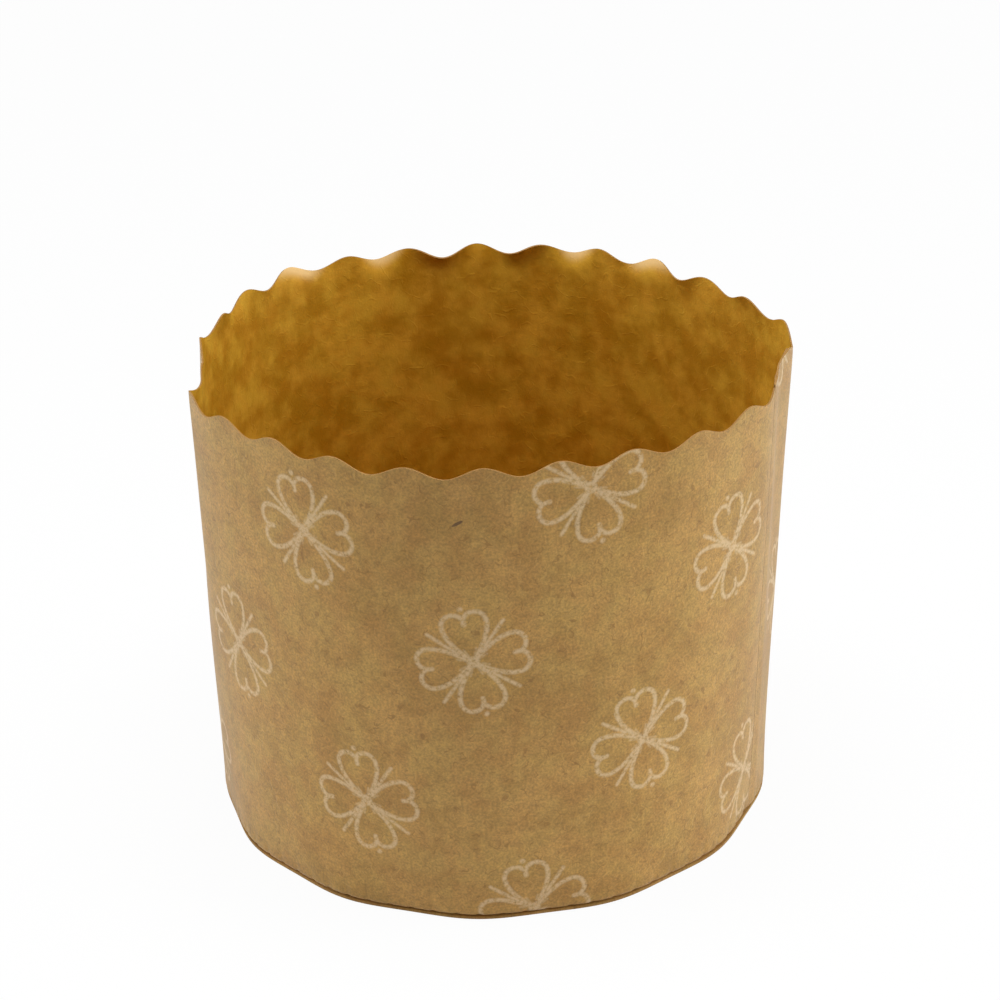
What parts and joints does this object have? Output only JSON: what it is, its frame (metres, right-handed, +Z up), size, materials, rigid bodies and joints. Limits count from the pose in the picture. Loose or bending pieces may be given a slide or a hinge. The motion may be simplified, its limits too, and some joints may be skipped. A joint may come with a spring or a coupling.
{
  "type": "paper cake mold",
  "caption": "Round kraft paper mold for a small tall cake, with a scalloped rim, a side seam glued with a plain tab and a flat card base.",
  "frame": {"origin": "centre of the base disc's underside, where the mold stands on the table", "axes": "+Z up through the open rim, -Y towards the side that the picture shows in front, +X to the right"},
  "size_m": [0.0728, 0.0709, 0.06],
  "materials": {
    "wall_paper": "matt kraft paper with a faint pale print outside, plain and deeper brown inside",
    "base_card": "matt plain kraft card"
  },
  "bodies": {
    "root": {"side_wall": "wall_paper", "base_disc": "base_card"}
  },
  "joints": []
}
